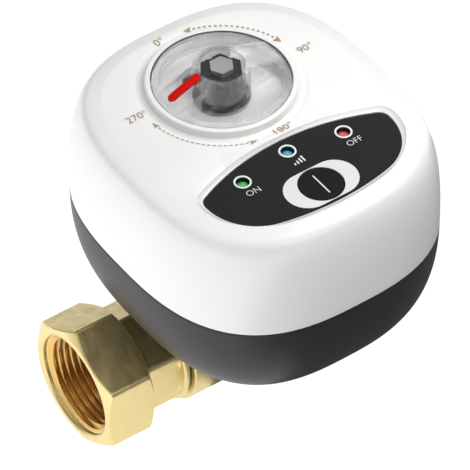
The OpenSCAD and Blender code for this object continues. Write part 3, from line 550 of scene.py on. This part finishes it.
def upper_housing():
    lip = [(0.3, 2.2), (0.0, 2.0), (0.0, 0.35), (0.1, 0.1), (0.35, 0.0)]
    rings = [plan_ring(PARTING_Z + h, d) for h, d in lip]
    profile = side(TOP_Z - PARTING_Z, SHOULDER, SHOULDER_CURVE, 64)
    rings += [plan_ring(PARTING_Z + h - valley(d), d) for h, d in profile if h > 0.6]
    steps = 12
    for i in range(1, steps + 1):
        inset = SHOULDER + (VALLEY_AT + VALLEY_REACH - SHOULDER) * i / steps
        rings.append(plan_ring(TOP_Z - valley(inset), inset))

    rim_out, well_out, top = DIP_AT - DIP_REACH + 0.25, WELL_R + 0.05, EDGE_Z + 0.1
    rim = [(r, TOP_Z - dial_dip(r)) for r in np.linspace(DIP_AT + DIP_REACH, rim_out + 0.2, 16)]
    corners = [(rim_out + 0.1, TOP_Z), (rim_out, top), (well_out, top)]
    corners += [(WELL_R, WELL_FLOOR_Z), (5.0, WELL_FLOOR_Z)]
    rim += fillet(corners, [0, 0.7, 0.3, 0.5, 0], 6)
    rim_part = revolve(rim, RIM_COUNT, STEM)

    recess = [(1.52, TOP_Z), (1.46, TOP_Z - 0.04), (1.4, TOP_Z - 0.16)]
    recess += [(0.14, PANEL_Z + 0.22), (0.1, PANEL_Z - 0.3)]
    recess_rings = [at_stem([(x, y, z) for x, y in panel_border(grow)]) for grow, z in recess]
    inner_loops = [rim_part[0][:RIM_COUNT], recess_rings[0]]
    cap = top_cap([flat(loop) for loop in (rings[-1], *inner_loops)], TOP_Z)
    parts = joined(skin(rings), cap, rim_part, skin(recess_rings))
    welded_object("upper_housing", *parts, "valve", WHITE, "white_plastic", 40, ["upper_shell"])


def lower_housing():
    outer = side(PARTING_Z - PAD_Z, BELLY, BELLY_CURVE, 40)
    inner = side(PARTING_Z - PAD_Z - FLOOR_T, BELLY, BELLY_CURVE, 12)
    rings = [plan_ring(PARTING_Z - h, d) for h, d in outer[::-1] if h > 0.5]
    lip = [(0.3, 0.0), (0.1, 0.08), (0.02, 0.3), (0.02, WALL)]
    rings += [plan_ring(PARTING_Z - h, d) for h, d in lip]
    rings += [plan_ring(PARTING_Z - h, d + WALL) for h, d in inner if h > 0.5]
    obj = raw_object("lower_housing", *skin(rings, capped=True))

    screw_x, screw_y = CASE_SCREW
    ends, seat_z, floor_z = (-1, 1), PAD_Z + 6.5, PAD_Z + 9.5
    places = [(STEM_X + i * screw_x, CENTRE_Y + j * screw_y) for i in ends for j in ends]
    holes = [rod((STEM_X, JACK_Z), "y", JACK_D / 2 + 0.1, 20.0, 40.0)]
    holes += [rod(place, "z", SCREW_WELL_R, PAD_Z - 1, floor_z) for place in places]
    cut(obj, joined(*holes))
    dress(obj, "valve", DARK, "dark_plastic", 35, ["lower_shell"])
    wells = []
    for place in places:
        wells.append(revolve([(SCREW_WELL_R, seat_z), (SCREW_WELL_R, floor_z)], 48, place))
        wells.append(revolve([(SCREW_WELL_R, floor_z), (SCREW_HOLE_R, floor_z)], 48, place))
    new_object("case_screw_wells", *joined(*wells), "valve", DARK, "dark_plastic", 35)


upper_housing()
lower_housing()


# Brass ends


def soft_min(a, b, k):
    """The smaller of two values, with a rounded step from one to the other."""
    h = max(k - abs(a - b), 0.0) / k
    return min(a, b) - h * h * k * 0.25


def polar_skin(stations, count, mirror):
    """A surface about the pipe's axis. A station is (distance from the mouth, radius at an angle)."""
    rings = []
    for x, radius in stations:
        ring = []
        for i in range(count):
            a = 2 * math.pi * i / count
            r = radius(a) if callable(radius) else radius
            ring.append((VALVE_LEN - x if mirror else x, r * math.cos(a), r * math.sin(a)))
        rings.append(ring)
    return skin(rings)


def hex_radius(af, angle, rounding):
    """A hexagon with rounded corners, as a radius at an angle from the middle of a flat."""
    a = abs((angle + math.pi / 6) % (math.pi / 3) - math.pi / 6)
    flat = af / 2
    if math.tan(a) * flat <= (flat - rounding) * math.tan(math.pi / 6):
        return flat / math.cos(a)
    centre = (flat - rounding) / math.cos(math.pi / 6)
    b = math.pi / 6 - a
    return centre * math.cos(b) + math.sqrt(rounding**2 - (centre * math.sin(b)) ** 2)


def hex_body(x):
    """The chamfered hexagon's radius at an angle, at a distance from the mouth."""
    face_r = HEX_AF / 2 - 0.4
    front = face_r + 0.05 + HEX_CHAMFER * x
    back = face_r + 0.35 + HEX_CHAMFER * (HEX_LEN - x)

    def radius(a):
        r = soft_min(hex_radius(HEX_AF, a, HEX_ROUNDING), front, CHAMFER_BLEND)
        return soft_min(r, back, CHAMFER_BLEND)

    return radius


def end_stations():
    """The outside of one end, from the mouth to the bead."""
    face = [(1.5, 0.2), (1.35, 0.45), (0.5, 0.6), (0.12, 1.05), (0.0, 1.25)]
    stations = [(x, THREAD_R + out) for x, out in face]
    chamfer, fine, coarse = 2.6, 22, 8
    xs = list(np.linspace(0.0, chamfer, fine))
    xs += list(np.linspace(chamfer, HEX_LEN - chamfer, coarse)[1:-1])
    xs += list(np.linspace(HEX_LEN - chamfer, HEX_LEN, fine))
    stations += [(float(x), hex_body(float(x))) for x in xs]

    def neck(a):
        return hex_radius(NECK_AF, a, HEX_ROUNDING)

    stations.append((HEX_LEN + 0.02, lambda a: neck(a) + 0.35))
    stations.append((HEX_LEN + 0.12, lambda a: neck(a) + 0.1))
    stations.append((HEX_LEN + 0.4, neck))
    stations += [(float(x), neck) for x in np.linspace(HEX_LEN + 1, NECK_END - 0.9, 6)]

    half, middle, height, steps = BEAD_LEN / 2 + 0.1, NECK_END + BEAD_LEN / 2 - 0.1, 0.95, 10
    for i in range(steps + 1):
        a = math.pi * i / steps
        stations.append((middle - math.cos(a) * half, BEAD_D / 2 - height + height * math.sin(a)))
    stations.append((BARREL_START + 0.4, BEAD_D / 2 - 0.7))
    return stations


def thread_radius(x, a, start):
    """A rounded pipe thread with fourteen turns to the inch."""
    pitch, depth = 1.814, 1.1
    phase = ((x - start) / pitch - a / (2 * math.pi)) % 1.0
    tri = abs(phase - 0.5) * 2
    smooth = tri * tri * (3 - 2 * tri)
    fade = min(1.0, max(0.0, (x - start + 0.9) / 0.9))
    return THREAD_R - 0.05 - depth * (0.35 * tri + 0.65 * smooth) * fade


def mouth_stations():
    """The thread's entry cone and its turns."""
    first, last, steps = 1.7, THREAD_DEPTH - 0.6, 96
    stations = [(1.5, THREAD_R + 0.2), (1.62, THREAD_R - 0.05)]
    for x in np.linspace(first, last, steps):
        stations.append((float(x), lambda a, x=float(x): thread_radius(x, a, 2.2)))
    return stations


def bore_stations():
    stations = [(THREAD_DEPTH - 0.6, THREAD_R - 0.02), (THREAD_DEPTH, THREAD_R - 0.02)]
    return stations + [(THREAD_DEPTH, PORT_R + 2.5), (THREAD_DEPTH + 2.5, PORT_R), (NECK_END + 4, PORT_R)]


def end_piece(name, mirror, replaced):
    outside = polar_skin(end_stations(), 720, mirror)
    welded_object(name, *outside, "valve", BRASS, "brass", 35, [replaced])
    thread = polar_skin(mouth_stations(), 256, mirror)
    welded_object(name + "_thread", *thread, "valve", BRASS_SHADED_IN, "brass", 45)
    bore = polar_skin(bore_stations(), 96, mirror)
    welded_object(name + "_bore", *bore, "valve", BRASS_SHADED_IN, "brass", 35)


def barrel():
    profile = [(BARREL_START - 0.4, 12.0), (BARREL_START, 15.0), (BARREL_START, BARREL_D / 2)]
    profile += [(VALVE_LEN - x, r) for x, r in profile[::-1]]
    rounded = fillet(profile, [0, 0.3, 1.0, 1.0, 0.3, 0], 6)
    new_object("valve_barrel", *polar_skin(rounded, 180, False), "valve", BRASS, "brass", 35)


def rounded_square(half, r, z):
    ring = []
    for k, (x, y) in enumerate([(1, 1), (-1, 1), (-1, -1), (1, -1)]):
        ring += arc(x * (half - r), y * (half - r), r, 90 * k, 90 * k + 90, 6)
    return [(STEM_X + x, y, z) for x, y in ring]


def actuator_pad():
    """The square pad that carries the housing, on its boss above the barrel."""
    half, low, bevel = PAD_SIZE / 2, PAD_Z - PAD_T, 0.4
    rings = [rounded_square(half - bevel, 1.5, low), rounded_square(half, 1.9, low + bevel)]
    rings += [rounded_square(half, 1.9, PAD_Z - bevel), rounded_square(half - bevel, 1.5, PAD_Z)]
    boss = revolve([(BOSS_R, 12.0), (BOSS_R, low - 0.8), (BOSS_R + 0.8, low + 0.01)], 96, STEM)
    parts = joined(skin(rings, capped=True), boss)
    new_object("actuator_pad", *parts, "valve", BRASS, "brass", 35)


end_piece("inlet_end", False, "inlet_connector")
end_piece("outlet_end", True, "valve_body")
barrel()
actuator_pad()


# Clear knob


def half_moon(inset):
    """A finger hollow's outline beside the grip, with round tips, drawn in by an inset."""
    outer, tip = 15.2 - inset, 1.5
    y = BAR_W / 2 + inset + tip
    x = math.sqrt((outer - tip) ** 2 - y**2)
    turn = math.degrees(math.atan2(y, x))
    outline = arc(x, y, tip, -90, turn, 10)
    outline += arc(0, 0, outer, turn, 180 - turn, 48)[1:-1]
    return outline + arc(-x, y, tip, 180 - turn, 270, 10)


def hollow(side_way):
    """A bowl with a steep wall, as (height from the edge, inset of its outline)."""
    levels = [(1.0, -0.2), (0.0, -0.2), (-0.1, -0.05), (-0.3, 0.05), (-1.9, 0.3)]
    levels += [(-2.25, 0.5), (-2.5, 0.9), (-2.85, 1.7), (-3.1, 2.4), (-3.3, 3.3)]
    rings = []
    for lift, inset in levels:
        ring = [(x, side_way * y, EDGE_Z + lift) for x, y in half_moon(inset)]
        rings.append(at_stem(ring[::side_way]))
    return skin(rings[::-1], capped=True)


def grip():
    """The bar across the knob, which slopes from the hub to the rim."""
    end_x = 16.3
    top = [(end_x, EDGE_Z - 0.6), (end_x - 0.15, EDGE_Z + 0.3)]
    top += [(end_x - 0.8, EDGE_Z + 1.15), (HUB_D / 2, HUB_Z - 0.25)]
    outline = [(-x, z) for x, z in top] + top[::-1]
    edge = [(0.8, 0.0), (0.9, 0.1), (0.96, 0.3), (1.0, 0.55)]
    stations = [(-across, drop) for across, drop in edge[::-1]] + edge
    rings = []
    for across, drop in stations:
        ring = [(x, across * BAR_W / 2, z - (drop if z > EDGE_Z else 0.0)) for x, z in outline]
        rings.append(at_stem(ring))
    return skin(rings, capped=True)


def clear_knob():
    edge = [(KNOB_R - 0.3, KNOB_UNDER_Z), (KNOB_R, KNOB_UNDER_Z + 0.3), (KNOB_R, EDGE_Z - 0.5)]
    edge += [(KNOB_R - 0.15, EDGE_Z - 0.15), (KNOB_R - 0.5, EDGE_Z)]
    hub_r = HUB_D / 2
    hub = [(hub_r, HOLLOW_Z - 0.5), (hub_r, HUB_Z - 0.4)]
    hub += [(hub_r - 0.12, HUB_Z - 0.12), (hub_r - 0.4, HUB_Z)]
    knob = raw_object("clear_knob", *revolve(edge, 160, STEM, capped=True))
    cut(knob, hollow(1))
    cut(knob, hollow(-1))
    cut(knob, grip(), "UNION")
    cut(knob, revolve(hub, 96, STEM, capped=True), "UNION")
    cut(knob, rod(STEM, "z", hub_r - HUB_WALL, KNOB_UNDER_Z - 1, HUB_Z + 1, 96))
    weld(knob)
    dress(knob, "spindle", CLEAR, "clear_plastic", 32, ["knob"])


def painted_shade_ring():
    """A dark ring in the well, seen through the knob's clear edge: painted shade, which stands for the dark
    band at the far side of the clear knob.
    """
    inner, low, high = KNOB_R + 0.14, 78.6, EDGE_Z - 0.1
    shade_ring_mesh = revolve([(inner, low), (inner, high), (WELL_R + 0.02, high)], 144, STEM)
    new_object("painted_shade_ring", *shade_ring_mesh, "valve", DARK, None, 30)


clear_knob()
painted_shade_ring()


# Lamps and pointer


def lamps():
    """Each lamp is a dome deep in a dark sleeve, under a thin pale ring."""
    bore, ring_r, sleeve_z, dome_h, steps = 1.72, BEZEL_D / 2 + 0.1, POCKET_Z + 0.1, 0.75, 12
    dome_r, dome_z = bore - 0.12, sleeve_z + 0.02
    lip_z = PANEL_Z + 0.12
    lip = [(ring_r, PANEL_Z - 0.05), (ring_r, lip_z), (bore, lip_z), (bore, PANEL_Z - 0.12)]
    dome = [(dome_r, dome_z)]
    for k in range(1, steps + 1):
        a = math.pi / 2 * k / steps
        dome.append((dome_r * math.cos(a) + 0.001, dome_z + dome_h * math.sin(a)))
    rings, sleeves = [], []
    for name, (x, y) in LAMPS.items():
        place = (STEM_X + x, y)
        rings.append(revolve(fillet(lip, [0, 0.12, 0.12, 0], 5), 64, place))
        sleeves.append(revolve([(bore, PANEL_Z - 0.1), (bore, sleeve_z), (0.02, sleeve_z)], 64, place))
        lens, lamp = revolve(dome, 48, place), "lamp_" + name
        welded_object("lens_" + name, *lens, "valve", LAMP_LOOK[name], lamp, 60, [lamp])
    new_object("lamp_rings", *joined(*rings), "valve", BEZEL, "bezel_white", 50, ["lamp_bezels"])
    new_object("lamp_sleeves", *joined(*sleeves), "valve", BLACK, "black_plastic", 50)


def pointer():
    """The red bar, which lies on the slope of the grip from the hub to its end."""
    half, thick, inner, outer, steps = 1.2, 0.4, 6.4, 15.6, 10
    inner_z, outer_z, middle = HUB_Z - 0.2, EDGE_Z + 1.2, -(inner + outer) / 2
    outline = arc(-inner - half, 0.0, half, -90, 90, steps) + arc(-outer + half, 0.0, half, 90, 270, steps)

    def height(x):
        slope = (outer_z - inner_z) * (-x - HUB_D / 2) / (outer - HUB_D / 2)
        return min(inner_z + slope, inner_z)

    def ring(shrink, lift):
        points = [(middle + (x - middle) * (1 - shrink / 5), y * (1 - shrink / half)) for x, y in outline]
        return at_stem([(x, y, height(x) + lift) for x, y in points])

    rings = [ring(0, 0.0), ring(0, thick * 0.6), ring(0.05, thick * 0.85), ring(0.18, thick)]
    new_object("pointer_bar", *skin(rings, capped=True), "spindle", RED, "red_plastic", 40, ["pointer"])


lamps()
pointer()


# Prints: plain numbers round the dial, and generic marks on the panel


def flat_text(words, height, x, y, z, thin):
    """The outline of words in capitals of a height, centred at a point and lying flat along X."""
    curve = bpy.data.curves.new("words", "FONT")
    curve.body = words
    curve.size = height / CAPITALS
    curve.offset = -thin
    curve.align_x = "CENTER"
    curve.resolution_u = 4
    obj = bpy.data.objects.new("words", curve)
    bpy.context.scene.collection.objects.link(obj)
    mesh = bpy.data.meshes.new_from_object(obj.evaluated_get(bpy.context.evaluated_depsgraph_get()))
    verts = [(STEM_X + x + v.co.x, y - height / 2 + v.co.y, z) for v in mesh.vertices]
    faces = [tuple(face.vertices) for face in mesh.polygons]
    bpy.data.objects.remove(obj)
    bpy.data.meshes.remove(mesh)
    return verts, faces


def flat_shape(points, z):
    return [(STEM_X + x, y, z) for x, y in points], [tuple(range(len(points)))]


def dial_arc(start, end, z):
    """A dashed arc with an arrow head at each end, as flat shapes."""
    half_width, dash, pitch, head = 0.2, 2.0, 3.55, 4.0
    parts = []
    count = round((end - start - 2 * head) / pitch)
    for k in range(count + 1):
        middle = start + head + (end - start - 2 * head) * k / count
        ring = arc(0, 0, ARC_R - half_width, middle - dash / 2, middle + dash / 2, 2)
        ring += arc(0, 0, ARC_R + half_width, middle + dash / 2, middle - dash / 2, 2)
        parts.append(flat_shape(ring, z))
    for tip, side_way in ((start, 1), (end, -1)):
        back = tip + side_way * head * 1.5
        notch = back - side_way * 1.2
        corners = [(ARC_R, tip), (ARC_R + 0.9, back), (ARC_R, notch), (ARC_R - 0.9, back)]
        shape = [arc(0, 0, r, a, a, 1)[0] for r, a in corners]
        parts.append(flat_shape(shape[::side_way], z))
    return parts


def dial_prints():
    """The scale round the dial, laid into the soft valley there."""
    z = TOP_Z + PRINT_LIFT
    parts = [flat_text(words, 2.2, x, y, z, 0.0) for words, (x, y) in DIAL_LABELS.items()]
    for start, end in DIAL_ARCS:
        parts += dial_arc(start, end, z)
    verts, faces = joined(*parts)
    verts = [(x, y, z + DIAL_PRINT_LIFT - dial_dip(math.hypot(x - STEM_X, y))) for x, y, z in verts]
    new_object("dial_prints", verts, faces, "valve", INK, None, 0)


def panel_prints():
    """The words under two of the lamps, and rising bars under the third."""
    z = PANEL_Z + PRINT_LIFT
    height, thin, right, down = 1.8, 0.035, 0.3, 4.0
    parts = []
    for words, lamp in (("ON", "green"), ("OFF", "red")):
        parts.append(flat_text(words, height, LAMPS[lamp][0] + right, LAMPS[lamp][1] - down, z, thin))
    bar_w, pitch, lowest, rise = 0.4, 0.9, 0.7, 0.45
    for k in range(4):
        x, y = LAMPS["blue"][0] - 1.3 + pitch * k, LAMPS["blue"][1] - 5.1
        top = y + lowest + rise * k
        parts.append(flat_shape([(x, y), (x + bar_w, y), (x + bar_w, top), (x, top)], z))
    new_object("panel_prints", *joined(*parts), "valve", PRINT, None, 0)


def button_mark():
    half_w, half_l, z = 0.17, 3.5, PANEL_Z - 0.05 + PRINT_LIFT
    reach = half_l - half_w
    ring = arc(0, -BUTTON_AT + reach, half_w, 0, 180, 8) + arc(0, -BUTTON_AT - reach, half_w, 180, 360, 8)
    new_object("button_mark", *flat_shape(ring, z), "button", PRINT, None, 0)


dial_prints()
panel_prints()
button_mark()


# Studio


FLOOR_Z, FLOOR_HALF, CARD_Z = -0.0186, 3.0, -0.0184
BRIGHT_SIDE = (-1.0, -0.1, 0.0)
GLOW = (-0.07, 0.13, 1.0, 1.75)
CARD = [(-0.03, -0.5), (0.5, -0.5), (0.5, 0.03), (0.037, 0.03), (0.037, -0.09), (-0.03, -0.09)]
SOFT_BOXES = [
    ((-0.05, 0.15, 0.98), 20, 60, 1.2),
    ((0.1, -0.75, 0.6), 4, 26, 1.9),
    ((-1.0, 0.1, 0.2), 10, 50, 0.15),
    ((1.0, 0.3, 0.1), 5, 25, 0.9),
]


def stage_sheet(name, outline, z, material):
    """A flat part of the studio, in metres."""
    mesh = bpy.data.meshes.new(name)
    mesh.from_pydata([(x, y, z) for x, y in outline], [], [tuple(range(len(outline)))])
    obj = bpy.data.objects.new(name, mesh)
    bpy.context.scene.collection.objects.link(obj)
    obj.data.materials.append(material)
    return obj


def floor():
    """A pale light table, which glows a little more beyond the inlet's side."""
    material, bsdf = shader("floor_white", (0.14, 0.14, 0.14), Roughness=0.8, Specular_IOR_Level=0.1)
    bsdf.inputs["Emission Color"].default_value = (1, 1, 1, 1)
    nodes, links = material.node_tree.nodes, material.node_tree.links
    coords = nodes.new("ShaderNodeTexCoord")
    along = nodes.new("ShaderNodeVectorMath")
    along.operation = "DOT_PRODUCT"
    along.inputs[1].default_value = BRIGHT_SIDE
    ramp = nodes.new("ShaderNodeMapRange")
    ramp.interpolation_type = "SMOOTHSTEP"
    for key, value in zip(("From Min", "From Max", "To Min", "To Max"), GLOW):
        ramp.inputs[key].default_value = value
    links.new(coords.outputs["Object"], along.inputs[0])
    links.new(along.outputs["Value"], ramp.inputs["Value"])
    links.new(ramp.outputs["Result"], bsdf.inputs["Emission Strength"])
    half = FLOOR_HALF
    stage_sheet("floor", [(-half, -half), (half, -half), (half, half), (-half, half)], FLOOR_Z, material)


def dark_card():
    """A dark card that lies in front and to the right. It shapes the light, and isn't in the picture."""
    material = shader("card_dark", (0.3, 0.3, 0.3), Roughness=0.9, Specular_IOR_Level=0.1)[0]
    stage_sheet("dark_card", CARD, CARD_Z, material).visible_camera = False


def light(name, place, target, size, power_w):
    data = bpy.data.lights.new(name, "AREA")
    data.shape = "SQUARE"
    data.size = size
    data.energy = power_w
    obj = bpy.data.objects.new(name, data)
    obj.location = place
    obj.rotation_euler = (Vector(target) - Vector(place)).to_track_quat("-Z", "Y").to_euler()
    obj.visible_camera = False
    bpy.context.scene.collection.objects.link(obj)


def camera():
    azimuth, elevation = math.radians(-35.5), math.radians(45)
    level = math.cos(elevation)
    back = Vector((math.sin(azimuth) * level, -math.cos(azimuth) * level, math.sin(elevation)))
    target = Vector((0.0331, -0.0237, 0.0537))
    distance, focal_px, picture_px, sensor = 1.09, 4500.0, 470, 36.0
    data = bpy.data.cameras.new("camera")
    data.sensor_width = sensor
    data.lens = sensor * focal_px / picture_px
    data.clip_start, data.clip_end = 0.05, 20
    obj = bpy.data.objects.new("camera", data)
    obj.location = target + back * distance
    obj.rotation_euler = (-back).to_track_quat("-Z", "Y").to_euler()
    bpy.context.scene.collection.objects.link(obj)
    bpy.context.scene.camera = obj


def world(base, lobes):
    """A dim room with soft boxes far away, each (direction, inner and outer angle, strength)."""
    scene = bpy.context.scene
    scene.world = bpy.data.worlds.new("studio")
    scene.world.use_nodes = True
    nodes, links = scene.world.node_tree.nodes, scene.world.node_tree.links
    back = nodes["Background"]
    back.inputs["Color"].default_value = (1, 1, 1, 1)
    coords = nodes.new("ShaderNodeTexCoord")
    total = None
    for direction, inner, outer, strength in lobes:
        dot = nodes.new("ShaderNodeVectorMath")
        dot.operation = "DOT_PRODUCT"
        dot.inputs[1].default_value = Vector(direction).normalized()
        links.new(coords.outputs["Generated"], dot.inputs[0])
        ramp = nodes.new("ShaderNodeMapRange")
        ramp.interpolation_type = "SMOOTHSTEP"
        ramp.inputs["From Min"].default_value = math.cos(math.radians(outer))
        ramp.inputs["From Max"].default_value = math.cos(math.radians(inner))
        ramp.inputs["To Min"].default_value = 0.0
        ramp.inputs["To Max"].default_value = strength
        links.new(dot.outputs["Value"], ramp.inputs["Value"])
        add = nodes.new("ShaderNodeMath")
        add.operation = "ADD"
        add.inputs[1].default_value = base
        links.new(ramp.outputs["Result"], add.inputs[0])
        if total is not None:
            links.new(total, add.inputs[1])
        total = add.outputs["Value"]
    links.new(total, back.inputs["Strength"])
    scene.view_settings.view_transform = "Standard"


floor()
camera()
world(0.02, SOFT_BOXES)
light("top_right", (0.11, -0.05, 0.2), (0.075, -0.01, 0.078), 0.08, 0.09)
dark_card()
